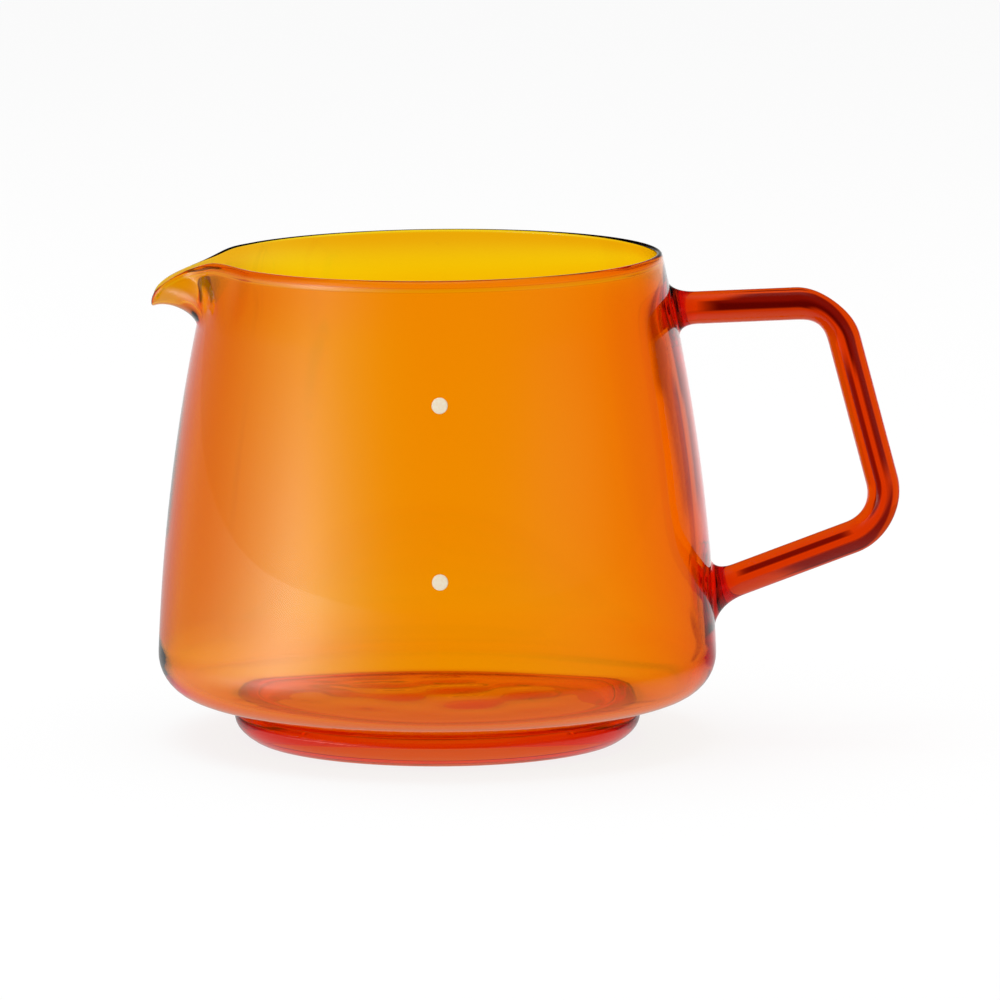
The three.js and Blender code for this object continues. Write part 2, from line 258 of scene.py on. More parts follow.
floorWaves = dict(x=0.19, xStart=0.7, y=0.36, yStart=-0.5,
                  slantX=0.31, slantY=-0.27, slantStart=2.1, slantShare=0.7)


def floorRise(x, y):
    # slow swell of the floor inside: two crossed sine waves and a slanted one, dying away towards the foot
    fw = floorWaves
    crossed = np.sin(fw["x"] * x + fw["xStart"]) * np.sin(fw["y"] * y + fw["yStart"])
    slanted = fw["slantShare"] * np.sin(fw["slantX"] * x + fw["slantY"] * y + fw["slantStart"])
    return vs["floorWave"] * (crossed + slanted) * np.clip(1 - (x * x + y * y) / vs["waveReach"] ** 2, 0, 1)


def swollen(skin):
    # inner skin with the floor's swell, glass that thickens towards the handle and thins towards the spout,
    # and a bell-shaped rise behind each weld
    x, y, z = np.moveaxis(skin, -1, 0)
    z = z + np.where(z < vs["floorTop"] + vs["floorBand"], floorRise(x, y), 0)
    radius = np.hypot(x, y)
    across = x / radius
    thicker = vs["handleSide"] * np.clip(across, 0, 1) ** 3
    uneven = thicker - vs["spoutSide"] * easeIn(-across, 0, vs["spoutShare"])
    draw = 1 - uneven * easeIn(z, *vs["unevenFrom"]) * easeIn(z, *vs["unevenTo"]) / radius
    for height, size, depth in vs["weldSwell"]:
        near = np.exp(-0.5 * (y * y + (z - height) ** 2) / size ** 2) * (x > 0)
        draw = draw - depth * near / radius
    return np.stack([x * draw, y * draw, z], axis=-1)


def lipHalf(angle, s):
    # half the glass above the root: swelling to a bead along the front lip, thinner at the back and the spout
    front = easeIn(-np.sin(angle), *vs["beadFront"])
    thin = vs["lipThin"] + vs["spoutThin"] * easeIn(np.abs(angle), *vs["spoutTurn"])
    bead = vs["beadSwell"] * easeIn(s, *vs["beadRise"])
    return halfWall * (1 - thin * easeIn(s, *vs["thinning"]) * (1 - front) + bead * front)


lipRadius = vs["rimRadius"] - lipHalf(0, 1)
lipHeight = vs["rimHeight"] - lipHalf(0, 1)
rimDip = lipRadius * np.tan(np.radians(vs["rimTilt"]))


def turned(angle, flat):
    # a (radius, height) pair turned about the axis; angle 0 is the spout
    return np.stack([-np.cos(angle) * flat[..., 0], np.sin(angle) * flat[..., 0],
                     flat[..., 1] + 0 * angle], axis=-1)


def onRim(angle):
    # middle of the lip on the tilted rim, half its glass in from the outside and the top
    radius = vs["rimRadius"] - lipHalf(angle, 1)
    height = vs["rimHeight"] - lipHalf(angle, 1) - rimDip * (1 + np.cos(angle))
    return np.stack([-radius * np.cos(angle), radius * np.sin(angle), height], axis=-1)


def alongBeak(reach, width, drop):
    # a point of the beak's lip, in shares of its reach, half width and drop
    return np.array([-(lipRadius + reach * vs["spoutReach"]), width * vs["beakHalf"],
                     lipHeight - 2 * rimDip - drop * vs["spoutDrop"]])


def splineThrough(points, share):
    # cubic through the points with matching slopes and curvature, share 0 to 1 from first to last
    count = len(points)
    matrix = np.diag(np.full(count, 4.0)) + np.diag(np.ones(count - 1), 1) + np.diag(np.ones(count - 1), -1)
    matrix[0, 0] = matrix[-1, -1] = 2
    longer = np.concatenate([points[:1], points, points[-1:]])
    slope = np.linalg.solve(matrix, 3 * (longer[2:] - longer[:-2]))
    place = np.clip(share * (count - 1), 0, count - 1 - 1e-9)
    i = place.astype(int)
    f = (place - i)[..., None]
    return (points[i] * (2 * f ** 3 - 3 * f ** 2 + 1) + slope[i] * (f ** 3 - 2 * f ** 2 + f)
            + points[i + 1] * (3 * f ** 2 - 2 * f ** 3) + slope[i + 1] * (f ** 3 - f ** 2))


def lipPoints():
    # the lip from rim to rim round the beak's tip, front side first
    spread, leave = np.radians(vs["spread"]), np.radians(vs["leaveRim"])
    beak = np.array([alongBeak(*shares) for shares in vs["beakLip"]])
    rim = np.array([leave, (leave + vs["rimLean"] * spread) / (1 + vs["rimLean"]), spread])
    front = np.concatenate([beak * [1, -1, 1], onRim(-rim)])
    return np.concatenate([front[::-1], [alongBeak(1, 0, 1)], beak, onRim(rim)])


beakPoints = lipPoints()
rootPoint = wallAt(rootShare)
rootUp = wallUp(rootShare)
rootMiddle = rootPoint - halfWall * np.array([rootUp[1], -rootUp[0]])
rimUp = unit(rimPoint - wallBend)
plainPull = lipHeight - rootMiddle[1]


def lipAim(angle):
    # way in which the wall reaches the lip: up the wall, turning outwards and down at the tip
    share = np.minimum(np.abs(angle) / np.radians(vs["spread"]), 1)
    turn = easeIn(share, 0, vs["aimTurn"])[..., None]
    dip = np.radians(vs["tipDip"])
    tip = np.array([-np.cos(dip), 0, -np.sin(dip)])
    return unit(tip * (1 - turn) + turned(angle, rimUp) * turn)


def upperMiddle(angle, s):
    # middle of the wall above the spout's root: a Hermite curve from the root, s = 0, to the lip, s = 1
    share = angle / np.radians(vs["spread"])
    inSpout = (np.abs(share) < 1)[..., None]
    lip = np.where(inSpout, splineThrough(beakPoints, (np.clip(share, -1, 1) + 1) / 2), onRim(angle))
    fade = easeIn(np.abs(share), 0, 1)[..., None]
    leaving = turned(angle, rootUp) * (vs["rootPull"] * (1 - fade) + plainPull * fade)
    coming = lipAim(angle) * (vs["tipPull"] * (1 - fade) + plainPull * fade)
    s = s[..., None]
    return (turned(angle, rootMiddle) * (2 * s ** 3 - 3 * s ** 2 + 1) + leaving * (s ** 3 - 2 * s ** 2 + s)
            + lip * (3 * s ** 2 - 2 * s ** 3) + coming * (s ** 3 - s ** 2))


def upperOut(angle, s):
    # way out of that surface: the cross product of its slope up and its slope round
    turnStep, riseStep = 0.02, 0.03
    around = upperMiddle(angle + turnStep, s) - upperMiddle(angle - turnStep, s)
    above, below = np.minimum(s + riseStep, 1), np.maximum(s - riseStep, 0)
    along = upperMiddle(angle, above) - upperMiddle(angle, below)
    return unit(np.cross(along, around))


def vesselRings():
    # profiles turned about the axis up to the spout's root, then the drawn lip with half its glass to each
    # side, closed over the top by a half circle; columns crowd towards the spout
    turn = np.linspace(-np.pi, np.pi, vs["around"], endpoint=False)
    angle = (turn - vs["crowding"] * np.sin(turn))[None, :]
    inner, outer = innerLine()[1:-1], outerLine()[1:-1]
    s = np.linspace(0, 1, vs["spoutRows"])[:, None]
    angles, shares = np.broadcast_arrays(angle, s)
    middle, out = upperMiddle(angles, shares), upperOut(angles, shares)
    half = lipHalf(angles, shares)[..., None]
    tilt = np.linspace(-np.pi / 2, np.pi / 2, vs["beadRows"])[1:-1, None, None]
    bead = middle[-1] + half[-1] * (np.sin(tilt) * out[-1] + np.cos(tilt) * lipAim(angle[0]))
    inside = swollen(np.concatenate([turned(angle, inner[:, None, :]), middle - half * out]))
    outside = np.concatenate([turned(angle, outer[:, None, :]), middle + half * out])
    return np.concatenate([inside, bead, outside[::-1]])


floorMiddle = vs["floorTop"] + floorRise(0, 0)
vessel = meshFromRings("vessel_glass", vesselRings(), (0, 0, floorMiddle), (0, 0, vs["floorUnder"]))
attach(vessel, "root")
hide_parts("vessel")


# Handle: one bent rod whose ends flare out onto the wall, with the fused seals in the same skin.

handleSet = dict(
    rod=3.3, bend=9.9, upperDrop=11.55, upperRise=2.3, gripTop=34.79, gripLean=15.1, gripLength=46.5,
    lowerRise=20.6, upperSeal=4.7, upperFoot=6.4, upperSag=0.8, lowerSeal=5.6, lowerFoot=8.3, lowerSag=-0.7,
    sunk=0.15, upperBendThin=0.13, lowerBendThin=0.04, bendWide=0.4, rootTries=20,
    around=72, filletRows=26, capRows=8,
    upperRows=16, upperBendRows=30, gripRows=24, lowerBendRows=36, lowerRows=18,
)
hs = handleSet


def heading(degrees):
    # unit vector in (x, z) at an angle above +X
    return np.array([np.cos(np.radians(degrees)), np.sin(np.radians(degrees))])


def handlePath():
    # middle line in (x, z): three straight runs and two round bends, as points with headings and thinning
    upperWay, gripWay = heading(hs["upperRise"]), heading(hs["gripLean"] - 90)
    lowerWay = heading(180 + hs["lowerRise"])
    rootZ = vs["rimHeight"] - hs["upperDrop"]
    upperRoot = np.array([wallRadius(rootZ), rootZ])
    cornerX = vs["rimRadius"] + hs["gripTop"]
    upperSlope, lowerSlope = np.tan(np.radians([hs["upperRise"], hs["lowerRise"]]))
    upperCorner = np.array([cornerX, rootZ + (cornerX - upperRoot[0]) * upperSlope])
    lowerCorner = upperCorner + hs["gripLength"] * gripWay
    lowerRoot = np.array([vs["bellyRadius"], 0.0])
    for _ in range(hs["rootTries"]):       # down the lower run to the wall
        lowerRoot[1] = lowerCorner[1] - (lowerCorner[0] - lowerRoot[0]) * lowerSlope
        lowerRoot[0] = wallRadius(lowerRoot[1])
    bends = []
    for corner, into, out in ((upperCorner, upperWay, gripWay), (lowerCorner, gripWay, lowerWay)):
        turn = np.arccos(into @ out)
        back = hs["bend"] * np.tan(turn / 2)
        centre = corner - back * into + hs["bend"] * np.array([into[1], -into[0]])
        first = np.arctan2(into[0], -into[1])
        bends.append((corner - back * into, corner + back * out, centre, first, turn))
    start = upperRoot + hs["upperSeal"] * upperWay
    end = lowerRoot - hs["lowerSeal"] * lowerWay
    return upperRoot, lowerRoot, start, end, bends, (upperWay, gripWay, lowerWay)


def runLine(a, b, way, rows):
    # straight run: points, headings and no thinning
    t = np.linspace(0, 1, rows)[:, None]
    return a + (b - a) * t, np.broadcast_to(way, (rows, 2)), np.zeros(rows)


def runBend(bend, thin, rows):
    # round bend: points on its circle, headings along it, thinning as a squared sine that peaks halfway
    _, _, centre, first, turn = bend
    angle = first - np.linspace(0, turn, rows)
    spot = centre + hs["bend"] * np.stack([np.cos(angle), np.sin(angle)], axis=1)
    way = np.stack([np.sin(angle), -np.cos(angle)], axis=1)
    return spot, way, thin * np.sin(np.linspace(0, np.pi, rows)) ** 2


def rodRing(spot, way, thin, theta):
    # circle square to the path, flattened in the bend by thin and a share of that wider sideways
    across = np.stack([-way[..., 1], way[..., 0]], axis=-1)
    flat, wide = hs["rod"] * (1 - thin), hs["rod"] * (1 + hs["bendWide"] * thin)
    inPlane = spot[..., None, :] + flat[..., None, None] * np.cos(theta)[:, None] * across[..., None, :]
    side = wide[..., None] * np.sin(theta)
    return np.stack([inPlane[..., 0], side, inPlane[..., 1]], axis=-1)


def onWall(height, side, sunk):
    # point on the vessel's outside, set in by sunk, at a height and a sideways distance
    radius = wallRadius(height) - sunk
    return np.stack([np.sqrt(radius ** 2 - side ** 2), side, height], axis=-1)


def sealRings(root, way, length, foot, sag, theta):
    # each side line is a quadratic curve: along the wall at the footprint, along the rod at its end
    up = wallUp(wallShare(root[1]))
    footZ = root[1] - sag * up[1] + foot * up[1] * np.cos(theta)
    footY = foot * np.sin(theta)
    base = onWall(footZ, footY, hs["sunk"])
    none = np.zeros(1)
    knee = rodRing(root[None], way[None], none, theta)[0]
    top = rodRing((root + length * way)[None], way[None], none, theta)[0]
    t = np.linspace(0, 1, hs["filletRows"])[1:-1, None, None]
    fillet = (1 - t) ** 2 * base + 2 * t * (1 - t) * knee + t * t * top
    shrink = np.linspace(0, 1, hs["capRows"] + 1)[1:, None]
    midZ = root[1] - sag * up[1]
    cap = onWall(midZ + shrink * (footZ - midZ), shrink * footY, hs["sunk"])
    return cap, fillet, onWall(np.array(midZ), np.array(0.0), hs["sunk"])


def handleRings():
    # caps and fillets of both seals with the rod's rings between them, one skin from pole to pole
    theta = -np.linspace(0, 2 * np.pi, hs["around"], endpoint=False)
    upperRoot, lowerRoot, start, end, (upperBend, lowerBend), (upperWay, gripWay, lowerWay) = handlePath()
    runs = [runLine(start, upperBend[0], upperWay, hs["upperRows"]),
            runBend(upperBend, hs["upperBendThin"], hs["upperBendRows"]),
            runLine(upperBend[1], lowerBend[0], gripWay, hs["gripRows"]),
            runBend(lowerBend, hs["lowerBendThin"], hs["lowerBendRows"]),
            runLine(lowerBend[1], end, lowerWay, hs["lowerRows"])]
    spot, way, thin = (np.concatenate([runs[0][k]] + [r[k][1:] for r in runs[1:]]) for k in range(3))
    rod = rodRing(spot, way, thin, theta)
    upperSeal = hs["upperSeal"], hs["upperFoot"], hs["upperSag"]
    lowerSeal = hs["lowerSeal"], hs["lowerFoot"], hs["lowerSag"]
    capA, filletA, poleA = sealRings(upperRoot, upperWay, *upperSeal, theta)
    capB, filletB, poleB = sealRings(lowerRoot, -lowerWay, *lowerSeal, -theta + np.pi)
    rings = np.concatenate([capA, filletA, rod, filletB[::-1], capB[::-1]])
    return rings, poleA, poleB


rings, poleA, poleB = handleRings()
handle = meshFromRings("handle_glass", rings, poleA, poleB)
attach(handle, "root")
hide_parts("handle", "upper_handle_seal", "lower_handle_seal")


# Level marks: low domes of enamel that follow the wall.

markSet = dict(upper=74.3, lower=39.9, radius=1.6, dome=0.14, edge=6, sunk=0.06, around=48, rows=10)


def markRings(height):
    # rings about the mark's middle: up the round edge to the dome's top, then down to the sunk back
    theta = -np.linspace(0, 2 * np.pi, markSet["around"], endpoint=False)
    rho = np.linspace(0, 1, markSet["rows"] + 1)[1:]
    lift = markSet["dome"] * (1 - rho ** markSet["edge"]) ** 0.5
    share = np.concatenate([rho, rho[-2::-1]])
    raised = np.concatenate([lift, np.full(len(rho) - 1, -markSet["sunk"])])
    z = height + markSet["radius"] * share[:, None] * np.sin(theta)
    x = markSet["radius"] * share[:, None] * np.cos(theta)
    radius = wallRadius(z) + raised[:, None]
    rings = np.stack([x, -np.sqrt(radius ** 2 - x ** 2), z], axis=-1)
    front = wallRadius(height)
    return rings, (0, -(front + markSet["dome"]), height), (0, -(front - markSet["sunk"]), height)


marks = []
for node, height in (("upper_level_mark", markSet["upper"]), ("lower_level_mark", markSet["lower"])):
    mark = meshFromRings(node + "_enamel", *markRings(height))
    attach(mark, "root")
    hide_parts(node)
    marks.append(mark)


# Materials

def newMaterial(name):
    # empty material with its nodes and links
    material = bpy.data.materials.new(name)
    material.use_nodes = True
    material.node_tree.nodes.clear()
    return material, material.node_tree.nodes, material.node_tree.links


def feed(links, socket, value):
    # a plain number is set on the socket, another node's output is linked to it
    if isinstance(value, (int, float)):
        socket.default_value = value
    else:
        links.new(value, socket)


def combine(nodes, links, operation, *values):
    # output of a math node on one or two values
    node = nodes.new("ShaderNodeMath")
    node.operation = operation
    for socket, value in zip(node.inputs, values):
        feed(links, socket, value)
    return node.outputs[0]


def rangeNode(nodes, span, kind="LINEAR"):
    # node that maps a span onto 0 to 1
    node = nodes.new("ShaderNodeMapRange")
    node.interpolation_type = kind
    node.inputs["From Min"].default_value, node.inputs["From Max"].default_value = span
    return node


waverSet = dict(slowDetail=1, fineDetail=3, fineTimes=7, glossFrom=(0.35, 0.7), glossTo=0.012,
                tints=((1, 0.985, 0.96, 1), (1, 1, 1, 1)))


def blownGroup():
    # slow waver of hand-blown glass from noise on Object coordinates: a height for bump and a faint tint from
    # the slow noise, a gloss value from the fine one
    group = bpy.data.node_groups.new("blownWaver", "ShaderNodeTree")
    group.interface.new_socket("Scale", in_out="INPUT", socket_type="NodeSocketFloat")
    for title, kind in (("Height", "Float"), ("Roughness", "Float"), ("Tint", "Color")):
        group.interface.new_socket(title, in_out="OUTPUT", socket_type="NodeSocket" + kind)
    nodes, links = group.nodes, group.links
    come, go = nodes.new("NodeGroupInput"), nodes.new("NodeGroupOutput")
    spot = nodes.new("ShaderNodeTexCoord")
    slow, fine = nodes.new("ShaderNodeTexNoise"), nodes.new("ShaderNodeTexNoise")
    slow.inputs["Detail"].default_value = waverSet["slowDetail"]
    fine.inputs["Detail"].default_value = waverSet["fineDetail"]
    gloss = rangeNode(nodes, waverSet["glossFrom"])
    gloss.inputs["To Min"].default_value = 0
    gloss.inputs["To Max"].default_value = waverSet["glossTo"]
    tint = nodes.new("ShaderNodeValToRGB")
    for stop, colour in zip(tint.color_ramp.elements, waverSet["tints"]):
        stop.color = colour
    finer = combine(nodes, links, "MULTIPLY", come.outputs["Scale"], waverSet["fineTimes"])
    links.new(spot.outputs["Object"], slow.inputs["Vector"])
    links.new(spot.outputs["Object"], fine.inputs["Vector"])
    links.new(come.outputs["Scale"], slow.inputs["Scale"])
    links.new(finer, fine.inputs["Scale"])
    links.new(fine.outputs["Fac"], gloss.inputs["Value"])
    links.new(slow.outputs["Fac"], tint.inputs["Fac"])
    links.new(slow.outputs["Fac"], go.inputs["Height"])
    links.new(gloss.outputs[0], go.inputs["Roughness"])
    links.new(tint.outputs["Color"], go.inputs["Tint"])
    return group


waver = blownGroup()
amberSet = dict(absorbed=(0.998, 0.918, 0.0, 1), density=4000, ior=1.47, waverScale=22, waverDepth=0.00012)
rodSet = dict(absorbed=(0.989, 0.876, 0.0, 1), density=4000, ior=1.47, waverScale=60, waverDepth=0.00003)


def glassMaterial(name, look):
    # clear glass that takes its colour from the way through it and lets lamp light pass
    material, nodes, links = newMaterial(name)
    out = nodes.new("ShaderNodeOutputMaterial")
    glass = nodes.new("ShaderNodeBsdfPrincipled")
    glass.inputs["Metallic"].default_value = 0
    glass.inputs["Transmission Weight"].default_value = 1
    glass.inputs["IOR"].default_value = look["ior"]
    group = nodes.new("ShaderNodeGroup")
    group.node_tree = waver
    group.inputs["Scale"].default_value = look["waverScale"]
    bump = nodes.new("ShaderNodeBump")
    bump.inputs["Strength"].default_value = 1
    bump.inputs["Distance"].default_value = look["waverDepth"]
    links.new(group.outputs["Height"], bump.inputs["Height"])
    links.new(bump.outputs["Normal"], glass.inputs["Normal"])
    links.new(group.outputs["Roughness"], glass.inputs["Roughness"])
    links.new(group.outputs["Tint"], glass.inputs["Base Color"])
    path, mix = nodes.new("ShaderNodeLightPath"), nodes.new("ShaderNodeMixShader")
    through = nodes.new("ShaderNodeBsdfTransparent")
    links.new(path.outputs["Is Shadow Ray"], mix.inputs["Fac"])
    links.new(glass.outputs["BSDF"], mix.inputs[1])
    links.new(through.outputs["BSDF"], mix.inputs[2])
    links.new(mix.outputs["Shader"], out.inputs["Surface"])
    depth = nodes.new("ShaderNodeVolumeAbsorption")
    depth.inputs["Color"].default_value = look["absorbed"]
    depth.inputs["Density"].default_value = look["density"]
    links.new(depth.outputs["Volume"], out.inputs["Volume"])
    return material


vessel.data.materials.append(glassMaterial("amber_glass", amberSet))
handle.data.materials.append(glassMaterial("rod_glass", rodSet))

enamelSet = dict(grain=2600, detail=4, stops=((0.3, (0.97, 0.80, 0.57, 1)), (0.7, (1.0, 0.91, 0.72, 1))),
                 gloss=(0.32, 0.5), bump=0.25, bumpDepth=0.00004)


def enamelMaterial():
    # cream enamel, a little uneven in colour and gloss, as fired from a print: all from one noise
    material, nodes, links = newMaterial("mark_enamel")
    out = nodes.new("ShaderNodeOutputMaterial")
    paint = nodes.new("ShaderNodeBsdfPrincipled")
    spot, grain = nodes.new("ShaderNodeTexCoord"), nodes.new("ShaderNodeTexNoise")
    grain.inputs["Scale"].default_value = enamelSet["grain"]
    grain.inputs["Detail"].default_value = enamelSet["detail"]
    colour = nodes.new("ShaderNodeValToRGB")
    for k, (place, shade) in enumerate(enamelSet["stops"]):
        colour.color_ramp.elements[k].position = place
        colour.color_ramp.elements[k].color = shade
    gloss = nodes.new("ShaderNodeMapRange")
    gloss.inputs["To Min"].default_value, gloss.inputs["To Max"].default_value = enamelSet["gloss"]
    bump = nodes.new("ShaderNodeBump")
    bump.inputs["Strength"].default_value = enamelSet["bump"]
    bump.inputs["Distance"].default_value = enamelSet["bumpDepth"]
    links.new(spot.outputs["Object"], grain.inputs["Vector"])
    links.new(grain.outputs["Fac"], colour.inputs["Fac"])
    links.new(grain.outputs["Fac"], gloss.inputs["Value"])
    links.new(grain.outputs["Fac"], bump.inputs["Height"])
    links.new(colour.outputs["Color"], paint.inputs["Base Color"])
    links.new(gloss.outputs[0], paint.inputs["Roughness"])
    links.new(bump.outputs["Normal"], paint.inputs["Normal"])
    links.new(paint.outputs["BSDF"], out.inputs["Surface"])
    return material


enamel = enamelMaterial()
for mark in marks:
    mark.data.materials.append(enamel)
print("materials done")


# Floor, light and camera

studioSet = dict(
    glassWhite=0.93, roomFill=0.8, floorSize=12.0, floorLow=-0.0002, floorGlow=0.84, floorPale=0.16,
    # painted shade on the floor: darker near the vessel in reflections, and amber under the vessel through
    # the glass
    floorTilt=-0.06, nearShadeSpan=(0.06, 0.16), nearShadeLevel=0.5,
    shadowSpan=(0.034, 0.062), shadowTint=(0.74, 0.4, 0.2),
    boxAim=62, boxFar=1.2, boxWide=1.7, boxTall=1.6, boxHeight=0.3, boxGlow=2.2,
    boxAcross=((0, 0), (0.22, 0.12), (0.5, 1), (0.78, 0.12), (1, 0)), boxUp=((0, 0.5), (0.5, 1), (1, 0.3)),
    # reflections: degrees from +Y towards +X, and level
    turnSpan=(-180, 180),
    backdrop=((-180, 0), (-75, 0.08), (-60, 0.18), (-44, 0.3), (-28, 0.52), (-8, 0.85), (14, 0.98),
              (20, 0.95), (28, 0.85), (36, 0.65), (44, 0.28), (56, 0.03), (180, 0)),
    keyBox=((-180, 0), (-164, 0.01), (-152, 0.07), (-140, 0.3), (-130, 0.62), (-119, 1), (-110, 0.78),
            (-100, 0.44), (-88, 0.2), (-70, 0.03), (-55, 0)),
    fillBox=((95, 0), (110, 0.75), (122, 1), (132, 0.92), (142, 0.55), (154, 0.2), (168, 0)),
    # the same by height, as the sine of the elevation
    lobeSpan=(-0.1, 0.8), lobeTop=5, overSpan=(-0.1, 1), overTop=2,
    backHigh=((-0.1, 1), (0.04, 1), (0.1, 0.5), (0.18, 0.12), (0.3, 0.03), (0.4, 0)),
    keyHigh=((-0.1, 4.8), (0.0, 3.8), (0.08, 2.8), (0.17, 1.6), (0.24, 0.9), (0.34, 0.9), (0.55, 0.8),
             (0.7, 0)),
    fillHigh=((-0.1, 0.02), (-0.04, 0.1), (0.08, 0.24), (0.17, 0.2), (0.3, 0.05)),
    overhead=((-0.1, 0), (0.9, 0), (0.97, 0.3), (1, 0.4)),
)
cardCorners = ((-1, -1), (1, -1), (1, 1), (-1, 1))


def roomGroup():
    # what reflections see: a bright backdrop, a low soft box at the left and a weak one at the right, each a
    # level by turn times a level by height, added to a glow overhead
    group = bpy.data.node_groups.new("roomLevel", "ShaderNodeTree")
    group.interface.new_socket("Direction", in_out="INPUT", socket_type="NodeSocketVector")
    group.interface.new_socket("Height", in_out="INPUT", socket_type="NodeSocketFloat")
    group.interface.new_socket("Level", in_out="OUTPUT", socket_type="NodeSocketFloat")
    nodes, links = group.nodes, group.links
    come, go = nodes.new("NodeGroupInput"), nodes.new("NodeGroupOutput")
    parts = nodes.new("ShaderNodeSeparateXYZ")
    links.new(come.outputs["Direction"], parts.inputs[0])
    angle = combine(nodes, links, "ARCTAN2", parts.outputs["X"], parts.outputs["Y"])
    turn = combine(nodes, links, "DEGREES", angle)
    height = come.outputs["Height"]

    def steps(source, span, stops, top):
        # level by steps that ease into each other, read from one value within a span
        low, high = span
        share, ramp = rangeNode(nodes, span), nodes.new("ShaderNodeValToRGB")
        ramp.color_ramp.interpolation = "B_SPLINE"
        while len(ramp.color_ramp.elements) < len(stops):
            ramp.color_ramp.elements.new(0.5)
        for stop, (place, level) in zip(ramp.color_ramp.elements, stops):
            stop.position = (place - low) / (high - low)
            stop.color = (level / top, level / top, level / top, 1)
        links.new(source, share.inputs["Value"])
        links.new(share.outputs[0], ramp.inputs["Fac"])
        return combine(nodes, links, "MULTIPLY", ramp.outputs["Color"], top)

    level = steps(height, studioSet["overSpan"], studioSet["overhead"], studioSet["overTop"])
    for sideways, upwards in (("backdrop", "backHigh"), ("keyBox", "keyHigh"), ("fillBox", "fillHigh")):
        byTurn = steps(turn, studioSet["turnSpan"], studioSet[sideways], 1)
        byHeight = steps(height, studioSet["lobeSpan"], studioSet[upwards], studioSet["lobeTop"])
        level = combine(nodes, links, "ADD", level, combine(nodes, links, "MULTIPLY", byTurn, byHeight))
    links.new(level, go.inputs["Level"])
    return group


roomLevel = roomGroup()


def plane(name, corners):
    # one flat stage card
    mesh = bpy.data.meshes.new(name)
    mesh.from_pydata([tuple(c) for c in corners], [], [(0, 1, 2, 3)])
    card = bpy.data.objects.new(name, mesh)
    scene.collection.objects.link(card)
    return card


def layFloor():
    # pale matte floor with a glow of its own; glass mirrors it as it mirrors the room, with painted shade
    # near the vessel, and shows it white, with a painted amber shadow under the vessel
    half = studioSet["floorSize"] / 2
    floor = plane("floor", [(x * half, y * half, studioSet["floorLow"]) for x, y in cardCorners])
    material, nodes, links = newMaterial("pale_floor")
    out, path = nodes.new("ShaderNodeOutputMaterial"), nodes.new("ShaderNodeLightPath")
    spot, far = nodes.new("ShaderNodeTexCoord"), nodes.new("ShaderNodeVectorMath")
    far.operation = "LENGTH"
    links.new(spot.outputs["Object"], far.inputs[0])

    matte, glow = nodes.new("ShaderNodeBsdfDiffuse"), nodes.new("ShaderNodeEmission")
    both = nodes.new("ShaderNodeAddShader")
    pale = studioSet["floorPale"]
    matte.inputs["Color"].default_value = (pale, pale, pale, 1)
    glow.inputs["Strength"].default_value = studioSet["floorGlow"]
    links.new(matte.outputs[0], both.inputs[0])
    links.new(glow.outputs[0], both.inputs[1])

    room = nodes.new("ShaderNodeGroup")
    room.node_tree = roomLevel
    room.inputs["Height"].default_value = studioSet["floorTilt"]
    # painted shade: in reflections the floor glows darker near the vessel
    near, level = rangeNode(nodes, studioSet["nearShadeSpan"], "SMOOTHSTEP"), nodes.new("ShaderNodeMix")
    level.data_type = "FLOAT"
    level.inputs[2].default_value = studioSet["nearShadeLevel"]
    mirrored = nodes.new("ShaderNodeEmission")
    links.new(spot.outputs["Object"], room.inputs["Direction"])
    links.new(far.outputs["Value"], near.inputs["Value"])
    links.new(near.outputs[0], level.inputs[0])
    links.new(room.outputs["Level"], level.inputs[3])
    links.new(level.outputs[0], mirrored.inputs["Strength"])

    # painted shadow: through the glass the floor glows amber-tinted under the vessel instead of white
    shade, tint = rangeNode(nodes, studioSet["shadowSpan"], "SMOOTHSTEP"), nodes.new("ShaderNodeMix")
    tint.data_type = "RGBA"
    tint.inputs[6].default_value = (*studioSet["shadowTint"], 1)
    tint.inputs[7].default_value = (1, 1, 1, 1)
    white = nodes.new("ShaderNodeEmission")
    white.inputs["Strength"].default_value = studioSet["glassWhite"]
    links.new(far.outputs["Value"], shade.inputs["Value"])
    links.new(shade.outputs[0], tint.inputs[0])
    links.new(tint.outputs[2], white.inputs["Color"])

    pick, through = nodes.new("ShaderNodeMixShader"), nodes.new("ShaderNodeMixShader")
    links.new(path.outputs["Is Glossy Ray"], pick.inputs["Fac"])
    links.new(both.outputs[0], pick.inputs[1])
    links.new(mirrored.outputs[0], pick.inputs[2])
    links.new(path.outputs["Is Transmission Ray"], through.inputs["Fac"])
    links.new(pick.outputs[0], through.inputs[1])
    links.new(white.outputs[0], through.inputs[2])
    links.new(through.outputs[0], out.inputs["Surface"])
    floor.data.materials.append(material)


def lightRoom():
    # white for the camera and through the glass, a dim room with a bright backdrop in reflections
    world = bpy.data.worlds.new("studio")
    scene.world = world
    world.use_nodes = True
    nodes, links = world.node_tree.nodes, world.node_tree.links
    nodes.clear()
    out, back = nodes.new("ShaderNodeOutputWorld"), nodes.new("ShaderNodeBackground")
    path, spot = nodes.new("ShaderNodeLightPath"), nodes.new("ShaderNodeTexCoord")
    room = nodes.new("ShaderNodeGroup")
    room.node_tree = roomLevel
    parts = nodes.new("ShaderNodeSeparateXYZ")
    links.new(spot.outputs["Generated"], room.inputs["Direction"])
    links.new(spot.outputs["Generated"], parts.inputs[0])
    links.new(parts.outputs["Z"], room.inputs["Height"])

    def choose(which, yes, no):
        # one level for rays of a kind, another for the rest
        mix = nodes.new("ShaderNodeMix")
        mix.data_type = "FLOAT"
        links.new(path.outputs[which], mix.inputs[0])
        feed(links, mix.inputs[2], no)
        feed(links, mix.inputs[3], yes)
        return mix.outputs[0]

    level = choose("Is Glossy Ray", room.outputs["Level"], studioSet["roomFill"])
    level = choose("Is Transmission Ray", studioSet["glassWhite"], level)
    level = choose("Is Camera Ray", 1.0, level)
    links.new(level, back.inputs["Strength"])
    links.new(back.outputs[0], out.inputs["Surface"])


